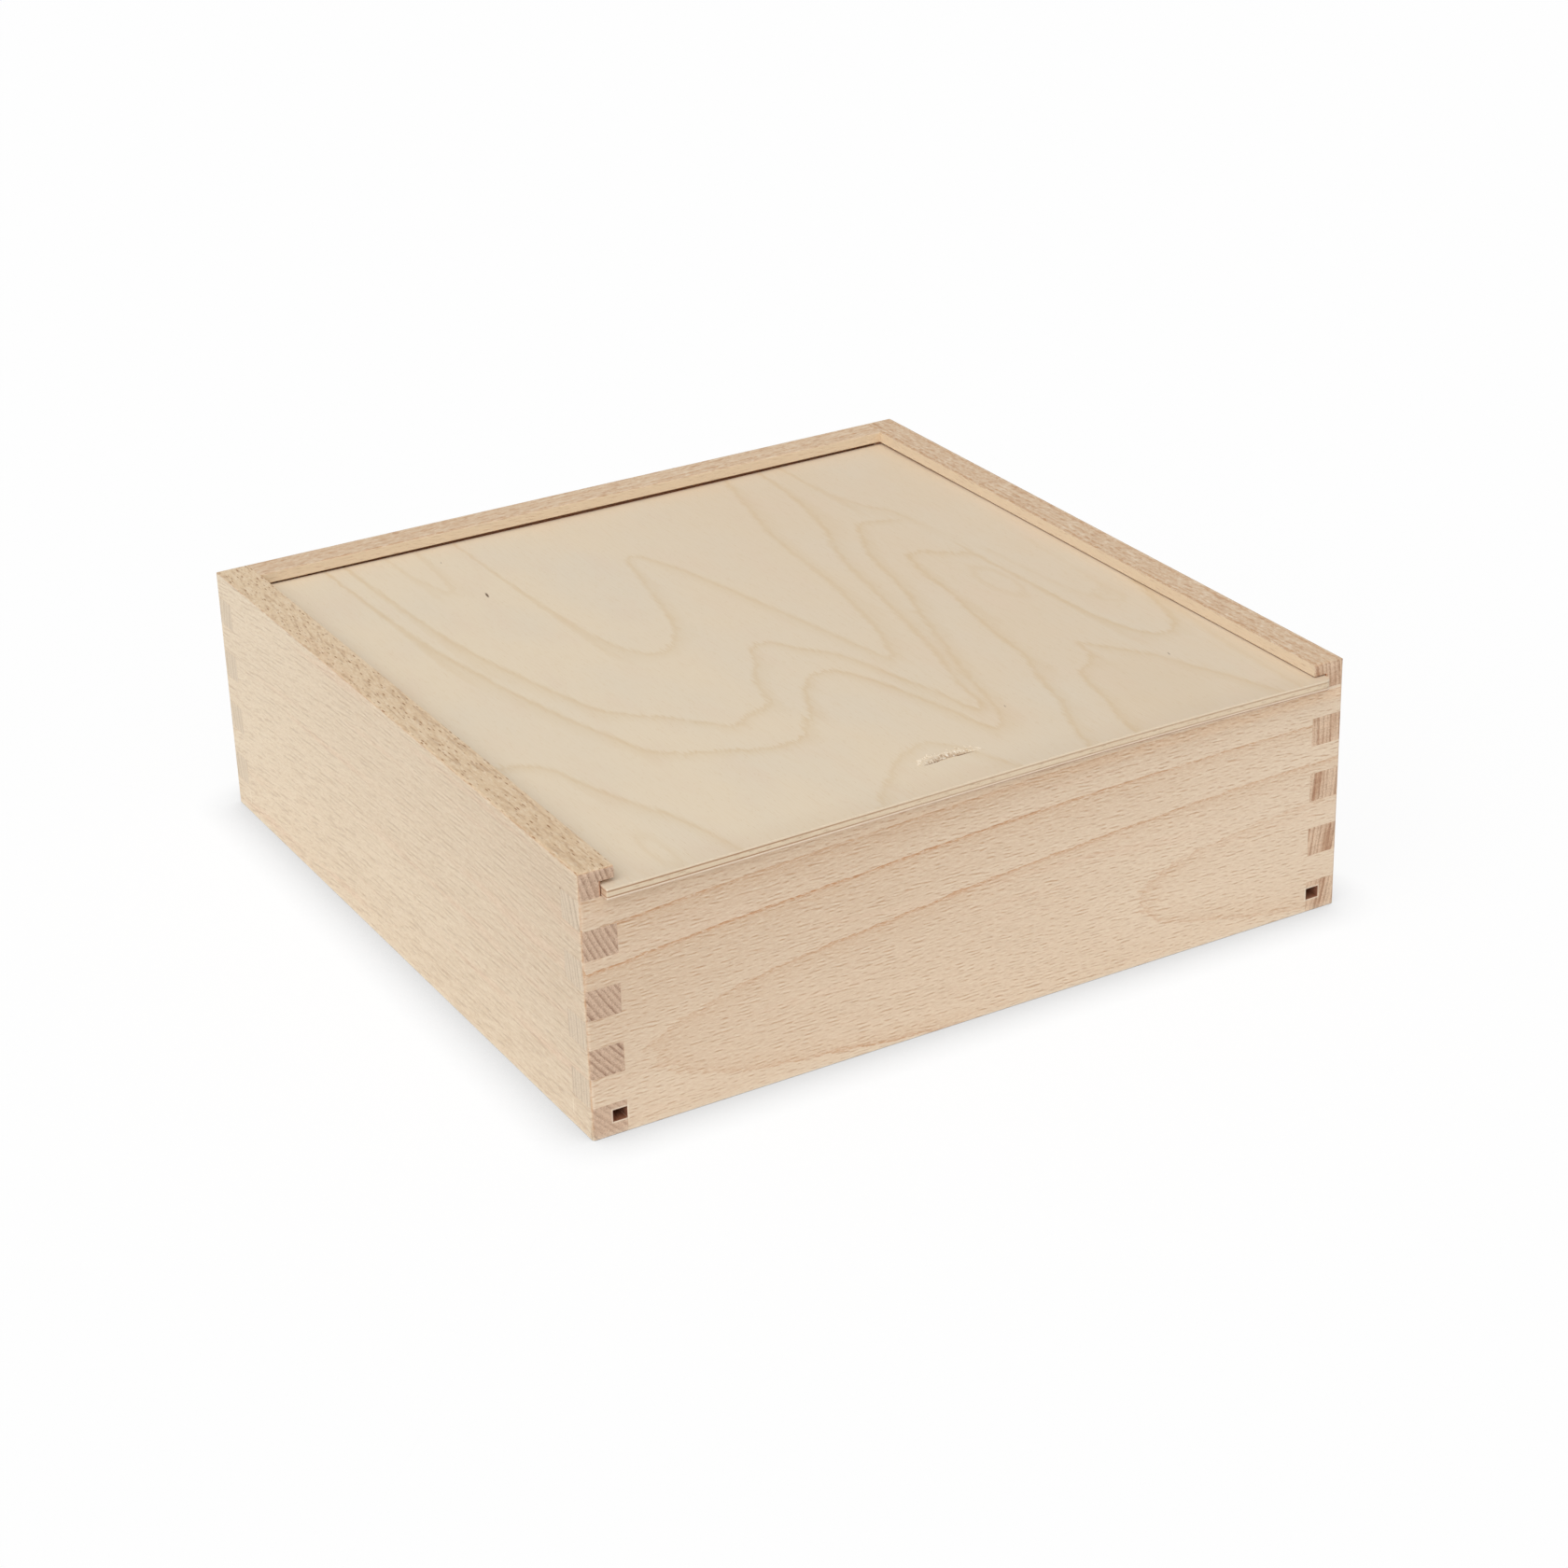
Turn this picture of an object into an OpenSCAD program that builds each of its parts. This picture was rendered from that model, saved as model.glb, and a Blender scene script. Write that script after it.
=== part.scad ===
// Finger-jointed beech box with a plywood lid that slides in grooves.
// Origin: centre of the box's footprint, on the surface that it stands on.
// +X runs to the right along the front board, +Y to the back, +Z up.

/* [Box] */
// Outside width, left to right
box_w = 280; // [160:1:420]
// Outside depth, front to back
box_d = 280; // [160:1:420]
// Outside height at the side and back boards
box_h = 90; // [60:1:160]
// Thickness of the four boards
board_t = 12; // [9:0.5:18]
// Width of the flat that sanding leaves on the outside edges
edge_ease = 0.8; // [0.2:0.1:1.5]

/* [Finger joints] */
// Height of one finger
finger_h = 10; // [6:0.5:16]

/* [Plywood] */
// Thickness of the lid and of the bottom panel
ply_t = 3.6; // [3:0.1:5]
// Thickness of each outer veneer
veneer_t = 0.9; // [0.5:0.05:1.2]

/* [Grooves] */
// Depth of the lid and bottom grooves
groove_depth = 4.8; // [3:0.1:6]
// Gap between a panel's edge and the floor of its groove
panel_gap = 0.4; // [0.2:0.1:1]
// Height of the bottom groove above the table
bottom_rise = 4.7; // [3:0.1:8]
// Play above the bottom panel in its groove
bottom_play = 0.3; // [0.1:0.05:0.6]
// Play above the lid in its groove
lid_play = 1.3; // [0.4:0.1:2.5]
// Running gap under the lid
lid_seat_gap = 0.1; // [0.05:0.05:0.3]
// Wood left above the lid groove
lid_lip = 4; // [2:0.5:8]

/* [Lid] */
// How far the lid is drawn out past the front board
lid_pull = 3.5; // [0:0.5:60]
// Length of the thumb notch's straight wall
notch_w = 21; // [12:0.5:40]
// Depth of the thumb notch at its straight wall
notch_depth = 1.5; // [0.8:0.1:2.2]
// Reach of the thumb notch from its wall towards the back
notch_reach = 5; // [4:0.5:10]
// Distance from the lid's front edge to the notch's straight wall
notch_setback = 17.5; // [10:0.5:40]
// Offset of the thumb notch from the middle of the lid
notch_offset = -2.7; // [-20:0.1:20]

/* [Hidden] */

beech = [0.86, 0.75, 0.63];
birch_face = [0.87, 0.81, 0.71];
birch_core = [0.78, 0.68, 0.54];

// Cuts run past the faces that they open by this much
past = 1;
round_steps = 96;

lid_groove_h = lid_seat_gap + ply_t + lid_play;
bottom_groove_h = ply_t + bottom_play;
// The front board ends at the floor of the lid groove
front_h = box_h - lid_lip - lid_groove_h;
core_t = ply_t - 2 * veneer_t;

// Edges of the fingers, from the front board's top downwards; the last side finger takes what is left
finger_count = 2 * floor(front_h / (2 * finger_h));
function finger_edge(k) = k == finger_count ? 0 : front_h - k * finger_h;
front_fingers = [for (k = [0:2:finger_count - 2]) [finger_edge(k + 1), finger_edge(k)]];
side_fingers = [for (k = [1:2:finger_count - 1]) [finger_edge(k + 1), finger_edge(k)]];
top_finger = [front_h, box_h];

// Both panels reach into their grooves, short of the groove's floor by the gap
inside_w = box_w - 2 * board_t;
panel_reach = groove_depth - panel_gap;
panel_w = inside_w + 2 * panel_reach;
panel_d = box_d - 2 * board_t + 2 * panel_reach;
// A shut lid lies flush with the front board and reaches into the back board's groove
lid_d = box_d - board_t + panel_reach;
lid_front_y = -box_d / 2 - lid_pull;
lid_z = front_h + lid_seat_gap;

// The notch is cut by a cylinder that lies along the lid and dips to the front
notch_tilt = asin(2 * notch_depth / notch_reach) / 2;
notch_wall = notch_depth / cos(notch_tilt);
notch_r = (pow(notch_w / 2, 2) + pow(notch_wall, 2)) / (2 * notch_wall);

// Rectangle with its four corners cut at 45 degrees
module eased_rect(w, h) {
    a = w / 2;
    b = h / 2;
    c = edge_ease;
    polygon([
        [-a + c, -b], [a - c, -b], [a, -b + c], [a, b - c],
        [a - c, b], [-a + c, b], [-a, b - c], [-a, -b + c]
    ]);
}

// The whole box as one block with its outside edges eased, which trims each board
module eased_block() {
    translate([0, 0, box_h / 2])
        intersection() {
            linear_extrude(box_h, center = true) eased_rect(box_w, box_d);
            rotate([90, 0, 0]) linear_extrude(box_d, center = true) eased_rect(box_w, box_h);
            rotate([90, 0, 90]) linear_extrude(box_w, center = true) eased_rect(box_d, box_h);
        }
}

// Sockets at both ends of a board of length l that lies along X with its outer face at y = 0
module sockets(l, spans) {
    for (span = spans, side = [-1, 1])
        translate([side * (l / 2 - board_t / 2 + past / 2), board_t / 2, (span[0] + span[1]) / 2])
            cube([board_t + past, board_t + 2 * past, span[1] - span[0]], center = true);
}

// Groove along the inner face of a board of length l, with its floor at height z
module groove(l, z, h) {
    translate([-l / 2 - past, board_t - groove_depth, z])
        cube([l + 2 * past, groove_depth + past, h]);
}

// A board of length l along X with its outer face at y = 0, before its edges are eased
module board(l, h, spans, has_lid_groove) {
    difference() {
        translate([-l / 2, 0, 0]) cube([l, board_t, h]);
        sockets(l, spans);
        groove(l, bottom_rise, bottom_groove_h);
        if (has_lid_groove) groove(l, front_h, lid_groove_h);
    }
}

module side_board() {
    intersection() {
        translate([-box_w / 2, 0, 0])
            rotate([0, 0, -90])
                board(box_d, box_h, front_fingers, true);
        eased_block();
    }
}

module left_board() {
    color(beech) side_board();
}

module right_board() {
    color(beech) mirror([1, 0, 0]) side_board();
}

module front_board() {
    color(beech)
        intersection() {
            translate([0, -box_d / 2, 0]) board(box_w, front_h, side_fingers, false);
            eased_block();
        }
}

module back_board() {
    color(beech)
        intersection() {
            translate([0, box_d / 2, 0])
                rotate([0, 0, 180])
                    board(box_w, box_h, concat(side_fingers, [top_finger]), true);
            eased_block();
        }
}

module bottom_ply(z, t) {
    translate([-panel_w / 2, -panel_d / 2, bottom_rise + z]) cube([panel_w, panel_d, t]);
}

module bottom_under_veneer() {
    color(birch_face) bottom_ply(0, veneer_t);
}

module bottom_core() {
    color(birch_core) bottom_ply(veneer_t, core_t);
}

module bottom_top_veneer() {
    color(birch_face) bottom_ply(veneer_t + core_t, veneer_t);
}

module notch_cutter() {
    translate([notch_offset, lid_front_y + notch_setback, lid_z + ply_t])
        rotate([notch_tilt, 0, 0])
            translate([0, 0, notch_r - notch_wall])
                rotate([-90, 0, 0])
                    cylinder(r = notch_r, h = 2 * notch_reach, $fn = round_steps);
}

module lid_ply(z, t) {
    difference() {
        translate([-panel_w / 2, lid_front_y, lid_z + z]) cube([panel_w, lid_d, t]);
        notch_cutter();
    }
}

module lid_under_veneer() {
    color(birch_face) lid_ply(0, veneer_t);
}

module lid_core() {
    color(birch_core) lid_ply(veneer_t, core_t);
}

module lid_top_veneer() {
    color(birch_face) lid_ply(veneer_t + core_t, veneer_t);
}

front_board();
back_board();
left_board();
right_board();
bottom_under_veneer();
bottom_core();
bottom_top_veneer();
lid_under_veneer();
lid_core();
lid_top_veneer();
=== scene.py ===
# %% [markdown]
# A finger-jointed box with a sliding lid
#
# The real box has four solid beech boards, 12 mm thick, locked at the corners by straight fingers.
# A plywood bottom sits in a groove near the base, and a plywood lid slides in a groove under the rim.
# The solids come from the CAD model. This lesson softens their edges, gives the lid the slight bow
# that a thin sheet takes, and makes the two woods: beech, cut from a ring pattern that runs through
# the whole board, and birch veneer, whose figure is drawn as contour lines.

# %% Load the frame
import math
import random
from types import SimpleNamespace

import bmesh
import bpy
from mathutils import Matrix, Vector


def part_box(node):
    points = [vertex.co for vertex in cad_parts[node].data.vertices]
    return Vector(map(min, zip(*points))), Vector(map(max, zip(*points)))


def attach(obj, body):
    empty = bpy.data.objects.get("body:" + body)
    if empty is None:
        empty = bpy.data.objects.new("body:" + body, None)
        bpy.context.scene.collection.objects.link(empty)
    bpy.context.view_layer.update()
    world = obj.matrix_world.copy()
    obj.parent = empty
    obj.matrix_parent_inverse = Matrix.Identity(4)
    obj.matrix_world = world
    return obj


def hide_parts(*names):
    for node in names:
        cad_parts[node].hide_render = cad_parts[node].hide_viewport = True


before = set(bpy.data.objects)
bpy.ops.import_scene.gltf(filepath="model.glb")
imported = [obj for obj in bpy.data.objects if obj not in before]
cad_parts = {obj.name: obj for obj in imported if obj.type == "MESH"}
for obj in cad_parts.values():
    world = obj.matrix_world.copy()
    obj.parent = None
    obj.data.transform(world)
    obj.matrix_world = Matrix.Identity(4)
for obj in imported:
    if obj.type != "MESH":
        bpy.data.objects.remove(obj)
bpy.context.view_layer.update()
print("CAD nodes:", sorted(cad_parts))

# %% [markdown]
# The camera stands to the front left of the box and a little above it, as the photographer did.
# A Track To constraint could aim it. Here its axes are worked out from a compass angle, a height angle and
# a small roll, so that each number can be read and changed on its own.

# %% Place the camera
MM = 0.001
aim = Vector((2.69, -10.35, 29.0)) * MM
azimuth, elevation, roll = (math.radians(a) for a in (-29.386, 25.711, -1.855))
distance = 1185.6 * MM

back = Vector((math.cos(elevation) * math.sin(azimuth),
               -math.cos(elevation) * math.cos(azimuth),
               math.sin(elevation)))
level = Vector((math.cos(azimuth), math.sin(azimuth), 0))
right = level * math.cos(roll) + back.cross(level) * math.sin(roll)
up = back.cross(right)

lens = bpy.data.cameras.new("camera")
lens.lens = 79.05
lens.sensor_width = 36
lens.clip_end = 50
camera = bpy.data.objects.new("camera", lens)
into_scene = bpy.context.scene.collection.objects.link
turned = Matrix((right, up, back)).transposed().to_4x4()
camera.matrix_world = Matrix.Translation(aim + back * distance) @ turned
into_scene(camera)
bpy.context.scene.camera = camera
print("camera at", [round(v, 3) for v in camera.matrix_world.translation])

# %% [markdown]
# The finishes have to know where things lie: a groove is brown inside, and a glue line follows a ply.
# The CAD model holds most of these places, so they are read from its nodes. Only what no node's box tells
# is written down: the boards' thickness, and the grooves' depth and play.

# %% Sizes from the CAD model, in millimetres
def span(node):
    """A CAD node's lowest and highest corner, in millimetres."""
    low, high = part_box(node)
    return low / MM, high / MM


board_high = span("left_board")[1]
HALF_BOX, BOX_TOP = board_high.y, board_high.z
FRONT_TOP = span("front_board")[1].z
HALF_HEIGHT = BOX_TOP / 2

lid_low, lid_high = span("lid_top_veneer")
LID_HALF, LID_FRONT, LID_BACK = lid_high.x, lid_low.y, lid_high.y
LID_TOP_GLUE, LID_TOP = lid_low.z, lid_high.z
LID_UNDER, LID_LOW_GLUE = (c.z for c in span("lid_under_veneer"))
BASE_UNDER, BASE_LOW_GLUE = (c.z for c in span("bottom_under_veneer"))
BASE_TOP_GLUE, BASE_TOP = (c.z for c in span("bottom_top_veneer"))

BOARD, GROOVE, LIP, BASE_PLAY = 12, 4.8, 4, 0.3
GROOVE_FLOOR = BOARD - GROOVE
# the lid's groove, and the bottom's, whose ends are the small holes on the front and the back
SLIDE_LOW, SLIDE_TOP = FRONT_TOP, BOX_TOP - LIP
HOLE_LOW, HOLE_TOP = BASE_UNDER, BASE_TOP + BASE_PLAY
# from the middle of a board to where its fingers begin
FINGERS = HALF_BOX - BOARD
print(f"box {2 * HALF_BOX:.1f} wide, {BOX_TOP:.1f} high, lid from {LID_UNDER:.1f} to {LID_TOP:.1f}")

# %% [markdown]
# Every finish below is a small sum: a distance from a ring, a random fleck, a soft threshold.
# Node by node that takes hundreds of lines, so one class wraps a socket and lets Python's own signs add
# the Math nodes. Its one method for other nodes sets the choices first and the sockets after.

# %% A socket that can be added up
class Wire:
    """One output of a node. Arithmetic on it adds Math nodes to the same material."""

    def __init__(self, tree, socket):
        self.tree = tree
        self.socket = socket

    def node(self, kind, settings=None, inputs=None, out=0):
        """Adds a node: its type, its settings, what its sockets get, and the output to use."""
        made = self.tree.nodes.new("ShaderNode" + kind)
        for name, value in (settings or {}).items():
            if name == "points":
                fill_curve(made.mapping, value)
            else:
                setattr(made, name, value)
        for name, value in (inputs or {}).items():
            if isinstance(value, Wire):
                self.tree.links.new(value.socket, made.inputs[name])
            else:
                made.inputs[name].default_value = value
        return Wire(self.tree, made.outputs[out])

    def math(self, operation, *others):
        """A Math node whose first value is this one."""
        return self.node("Math", {"operation": operation}, dict(enumerate((self, *others))))

    def __add__(self, other):
        return self.math("ADD", other)

    def __sub__(self, other):
        return self.math("SUBTRACT", other)

    def __rsub__(self, other):
        return self.node("Math", {"operation": "SUBTRACT"}, {0: other, 1: self})

    def __mul__(self, other):
        return self.math("MULTIPLY", other)

    def __truediv__(self, other):
        return self.math("DIVIDE", other)

    __radd__ = __add__
    __rmul__ = __mul__

    def __abs__(self):
        return self.math("ABSOLUTE")

    def above(self, least):
        """This value, but never less than the least."""
        return self.math("MAXIMUM", least)

    def smooth(self, low, high):
        """0 below low, 1 above high, and a soft step between them."""
        return self.node("MapRange", {"interpolation_type": "SMOOTHSTEP"},
                         {"Value": self, "From Min": low, "From Max": high})

    def fade(self, low, high):
        """1 below low, 0 above high, and a soft step between them."""
        return 1 - self.smooth(low, high)

    def parts(self):
        """The x, y and z of a vector."""
        split = self.node("SeparateXYZ", None, {0: self}).socket.node
        return [Wire(self.tree, output) for output in split.outputs]


def fill_curve(mapping, points):
    mapping.use_clip = False
    curve = mapping.curves[0]
    while len(curve.points) < len(points):
        curve.points.new(0.5, 0.5)
    for point, (x, y) in zip(curve.points, points):
        point.location = (x, y)
        point.handle_type = "AUTO_CLAMPED"
    mapping.update()


# %% [markdown]
# Colours are written as they look on a screen, from 0 to 255, and Blender wants them linear.
# Noises get a place that is already divided by the size of their grain, so they need no scale.

# %% Colours and noises
def tone(red, green, blue):
    """A screen colour as Blender's linear one."""
    def linear(value):
        value /= 255
        return value / 12.92 if value <= 0.04045 else ((value + 0.055) / 1.055) ** 2.4
    return (linear(red), linear(green), linear(blue), 1)


def vector(x, y, z):
    wire = next(v for v in (x, y, z) if isinstance(v, Wire))
    return wire.node("CombineXYZ", None, {0: x, 1: y, 2: z})


def blend(factor, first, second):
    return factor.node("Mix", {"data_type": "RGBA"}, {0: factor, 6: first, 7: second}, out=2)


def layered(ground, *coats):
    """Lays coats of colour over a ground: for each, how much of it, and its colour."""
    for much, colour in coats:
        ground = blend(much, ground, colour)
    return ground


def cloud(where, detail=2, rough=0.5):
    """Soft noise around 0, from about -0.5 to 0.5."""
    noise = {"Vector": where, "Scale": 1, "Detail": detail, "Roughness": rough}
    return where.node("TexNoise", None, noise) - 0.5


def cells(where, out):
    """Scattered points: how far the nearest one is, or its own random colour."""
    return where.node("TexVoronoi", None, {"Vector": where, "Scale": 1}, out=out)


def chance(number, seed):
    """A random value from 0 to 1 for each whole number."""
    return number.node("TexWhiteNoise", {"noise_dimensions": "2D"}, {"Vector": vector(number, seed, 0)})


# %% [markdown]
# A finish starts from the place of each point on the object, in millimetres, and the way it faces.
# It ends in a Principled shader: a colour, a roughness, and a height that the Bump node turns into relief.

# %% The start and the end of a finish
def new_finish(name):
    """A material, its place and facing on the object, and the shader that they feed."""
    material = bpy.data.materials.new(name)
    material.use_nodes = True
    tree = material.node_tree
    tree.nodes.clear()
    shader = tree.nodes.new("ShaderNodeBsdfPrincipled")
    output = tree.nodes.new("ShaderNodeOutputMaterial")
    tree.links.new(shader.outputs[0], output.inputs["Surface"])
    spot = tree.nodes.new("ShaderNodeTexCoord")
    place = Wire(tree, spot.outputs["Object"])
    place = place.node("VectorMath", {"operation": "SCALE"}, {0: place, "Scale": 1 / MM})
    facing = Wire(tree, spot.outputs["Normal"])
    return material, place, facing, shader


def coat(shader, colour, rough, height, depth, shine=0.5):
    """Feeds a finish to its shader: colour, roughness, a height in millimetres as bump, and shine."""
    bump = height.node("Bump", None, {"Height": height, "Distance": depth * MM, "Strength": 1})
    for wire, name in ((colour, "Base Color"), (rough, "Roughness"), (bump, "Normal")):
        wire.tree.links.new(wire.socket, shader.inputs[name])
    shader.inputs["Specular IOR Level"].default_value = shine


# %% [markdown]
# Beech is a solid, so its pattern is one too. Year rings are tubes round the tree's heart, and a board
# is cut somewhere out of that. Give each board the place of the heart, and the same sum draws long
# flames on its face, stripes on its edges and arcs on its ends, and they meet round every corner.
# A strand is the fibre that a point lies on: it runs along the board and leans a little.

# %% Beech: a point on a board, and the rings it lies among
def spot_on_board(look, place, facing):
    """A point along the board, its depth behind the outer face, its height, and how it faces."""
    x, y, z = place.parts()
    along, depth = look.axes(x, y)
    away = facing.node("VectorMath", {"operation": "ABSOLUTE"}, {0: facing}).parts()
    lengthwise, through, upward = away[look.grain], away[1 - look.grain], away[2]
    end, face, edge = (w.smooth(0.6, 0.9) for w in (lengthwise, through, upward))
    return SimpleNamespace(x=x, y=y, z=z, along=along, depth=depth, outer=abs(along - HALF_BOX),
                           lengthwise=lengthwise, through=through, upward=upward,
                           end=end, face=face, edge=edge)


def rings_round(look, spot):
    """How far the heart is, with the wander of a real trunk, and the year and season of a point."""
    along, depth, z, seed = spot.along, spot.depth, spot.z, look.seed
    far = look.heart_depth + look.heart_slope * along - depth
    bend = along * (look.heart_tilt + look.heart_bend * along)
    high = z - look.heart_height - bend
    square = high * high
    blunt = square * square / (square + look.blunt * look.blunt)
    drift = cloud(vector(along / 70, depth / 30, z / 26 + seed), 1)
    waver = cloud(vector(along / 9, depth / 4, z / 3 + seed), 3, 0.65)
    radius = (far * far + blunt).math("SQRT")
    radius = radius + drift * look.drift + waver * look.waver
    uneven = cloud(vector(radius / (2.5 * look.ring), seed, 0), 2)
    beyond = radius - look.first_ring
    step = look.inner_ring + (look.ring - look.inner_ring) * beyond.math("GREATER_THAN", 0)
    count = beyond / step + uneven * look.uneven
    year = count.math("FLOOR")
    turn = high.math("ARCTAN2", far) * look.heart_depth
    lean = along * (look.lean + look.lean_curve * along)
    strand = turn - lean + 1.5 * cloud(vector(along / 40, turn / 25, seed), 1)
    return SimpleNamespace(far=far, high=high, radius=radius, step=step, strand=strand, year=year,
                           season=count.math("FRACT"), boldness=chance(year, seed))


# %% [markdown]
# Each year ends in a dark line, with brown late wood before it and pale early wood after it. Where rings
# run out slowly on a face, a share of a year would draw a very wide line, so the share is first turned
# into millimetres on this surface. One corner of the front board is calmer than the rest.

# %% Beech: the marks of a ring
LINE_FADE_FROM, LINE_FADE_TO = 120, 250
CALM_LINE, CALM_LATE = 0.75, 0.35


def ring_marks(look, spot, rings):
    """The dark line, the late wood and the early wood, each from 0 to 1."""
    along, z = spot.along, spot.z
    deep = rings.far / rings.radius
    tall = rings.high / rings.radius
    pace = deep * deep * (1 - spot.through) + tall * tall * (1 - spot.upward)
    pace = pace + look.heart_slope ** 2 + 0.0001
    spread = rings.step / pace.math("SQRT")
    before = (1 - rings.season) * spread
    after = rings.season * spread
    line = before.fade(0, look.line_width) * rings.boldness
    late = before.fade(0, look.late_width) * rings.boldness
    early = after.fade(0, look.late_width) * chance(rings.year - 1, look.seed)

    calm_along, calm_height = look.calm
    calm = along.fade(calm_along / 3, calm_along + 1)
    calm = calm * z.fade(calm_height - 6, calm_height + 2)
    line = line * (1 - CALM_LINE * calm)
    line = line * (1 - look.top_fade * z.smooth(FRONT_TOP - 12, FRONT_TOP - 5))
    line = line * (1 - look.line_fade * along.smooth(LINE_FADE_FROM, LINE_FADE_TO))
    late = late * (1 - CALM_LATE * calm)
    return line, late, early


# %% [markdown]
# Vessels and rays are thin dashes on a face, and a ray cut along its side is a larger lens shape.
# A dash is a stretched noise less the mean of its two neighbours, so each has a pale flank.

# %% Beech: flecks
def flecks_of(look, spot, rings):
    """Dashes, their pale flanks, and rays, each from 0 to 1."""
    along, radius, strand = spot.along, rings.radius, rings.strand
    middle, above, below = (cloud(vector(radius / 1.3, (strand + shift) / look.dash_thin,
                                         along / look.dash_long + look.seed), 1)
                            for shift in (0, look.flank, -look.flank))
    streak = middle - 0.5 * (above + below)
    dash = streak.smooth(look.dash_from, 0.3)
    flank = (streak * -1).smooth(look.dash_from, 0.3)
    where = vector(radius / look.ray_deep, strand / look.ray_thin, along / look.ray_long)
    size = cells(where, "Color").parts()[0]
    ray = (cells(where, "Distance") / (0.04 + 0.4 * size)).fade(0.55, 1.0)
    return dash, flank, ray * (0.2 + 0.8 * size)


# %% [markdown]
# On a board's end the pores drink the light, so it is darker and shows each ring as a broken stroke.
# The saw leaves faint level lines, and round each hole of the low groove the edge is fresh and pale.

# %% Beech: end grain
def end_grain(look, spot, rings):
    """The colour of a board's end, and how much a pore or a stroke sinks in."""
    along, depth, z, seed = spot.along, spot.depth, spot.z, look.seed
    radius, strand, season, boldness = rings.radius, rings.strand, rings.season, rings.boldness
    pores = cells(vector(radius / 0.5, strand / 0.42, along / 30), "Distance").fade(0.1, 0.6)
    saw = cloud(vector(depth / 20, z / 0.45, along / 30), 2)
    broken = cloud(vector(radius / 0.7, strand / 2.4, along / 30 + seed), 2, 0.7)
    broad = cloud(vector(radius / 4.5, strand / 26 + seed, 3), 1)
    band = season.smooth(0.1, 0.8) * (0.4 + 0.6 * boldness)
    stroke = season.smooth(0.4, 0.85) * season.fade(0.94, 1.0) * (0.35 + 0.65 * boldness)
    stroke = stroke * (0.75 + 2.2 * broken)

    off_side = abs(depth - (GROOVE_FLOOR + BOARD) / 2) - GROOVE / 2
    off_level = abs(z - (HOLE_LOW + HOLE_TOP) / 2) - (HOLE_TOP - HOLE_LOW) / 2
    fresh = off_side.above(off_level).fade(0.2, 0.8) * spot.outer.smooth(FINGERS + 1, FINGERS + 3)
    cut = layered(
        blend(band * 0.5 + broad * look.end_broad + broken * 0.6, look.end_pale, look.end_mid),
        (stroke * look.end_stroke, look.end_dark),
        ((saw * 1.5).above(0) * look.saw, look.end_dark),
        ((saw * -1.5).above(0) * look.saw, look.end_pale),
        (pores * 0.35, look.end_dark),
        (z.fade(9, 12) * look.foot_pale, look.end_pale),
        (fresh * 0.75, look.light),
    )
    return cut, pores * 0.6 + stroke


# %% [markdown]
# The rest is what tools and hands left, with some painted light and shade. The rim above the lid's groove
# was planed fresh.
# The eased arrises are pale, partly where they were sanded and partly as a painted highlight, with torn
# spots. A pale line along the foot is a painted highlight. In the grooves and holes the wood is painted
# brown, as painted shade.

# %% Beech: traces of the work, and painted shade
def eased_edge(spot):
    """1 on an arris and 0 on a face, and a noise that says where the arris is torn."""
    straight = spot.lengthwise.above(spot.through).above(spot.upward)
    torn = cloud(vector(spot.x / 2.4, spot.y / 2.4, spot.z / 2.4), 3, 0.6)
    return (1 - straight).smooth(0.06, 0.24), torn


def work_marks_and_shade(look, spot, wood, arris, torn, worn):
    """The wood with its fresh places, painted highlights, and painted shade in the grooves and holes. worn
    is how far the grain breaks the fresh rim.
    """
    z, depth, outer = spot.z, spot.depth, spot.outer
    by_hole = z.smooth(HOLE_LOW - 0.8, HOLE_LOW - 0.5) * z.fade(HOLE_TOP + 0.4, HOLE_TOP + 0.7)
    by_hole = by_hole * outer.smooth(FINGERS - 0.8, FINGERS - 0.4) * outer.fade(FINGERS + 0.1, FINGERS + 0.2)
    rim = depth.smooth(BOARD - 0.15, BOARD - 0.05) * z.smooth(SLIDE_TOP - 0.1, SLIDE_TOP + 0.3)
    sunk = depth.smooth(GROOVE_FLOOR - 0.3, GROOVE_FLOOR - 0.1) * depth.fade(BOARD - 0.2, BOARD - 0.05)
    shoulder = spot.end * outer.fade(FINGERS + 1, FINGERS + 3)
    low = z.smooth(HOLE_LOW - 0.15, HOLE_LOW - 0.01) * z.fade(HOLE_TOP + 0.01, HOLE_TOP + 0.15)
    top = z.smooth(SLIDE_LOW - 0.05, SLIDE_LOW + 0.05) * z.fade(SLIDE_TOP - 0.05, SLIDE_TOP + 0.05)
    return layered(
        wood,
        (by_hole * spot.face * 0.6, look.light),
        (rim * spot.through * 0.9 - worn, look.rim_tone),
        # the arris made paler: partly sanded wood, partly a painted highlight on the rounded edge
        (arris * 0.15, look.light),
        (arris * z.smooth(0.8, 2.0) * (0.5 + 2.5 * torn) * look.torn, look.torn_tone),
        # painted highlight: a pale line along the foot, for the light that the white table throws up onto
        # the bottom edge
        (z.fade(0.6, 2.4) * 0.25, look.light),
        # painted shade: the insides of the low groove's holes and of the lid's groove drawn brown, as the
        # dark of a deep narrow slot
        (low * sunk.above(shoulder) * 0.85, look.groove_tone),
        (top * sunk * 0.8, look.slide_tone),
    )
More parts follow.
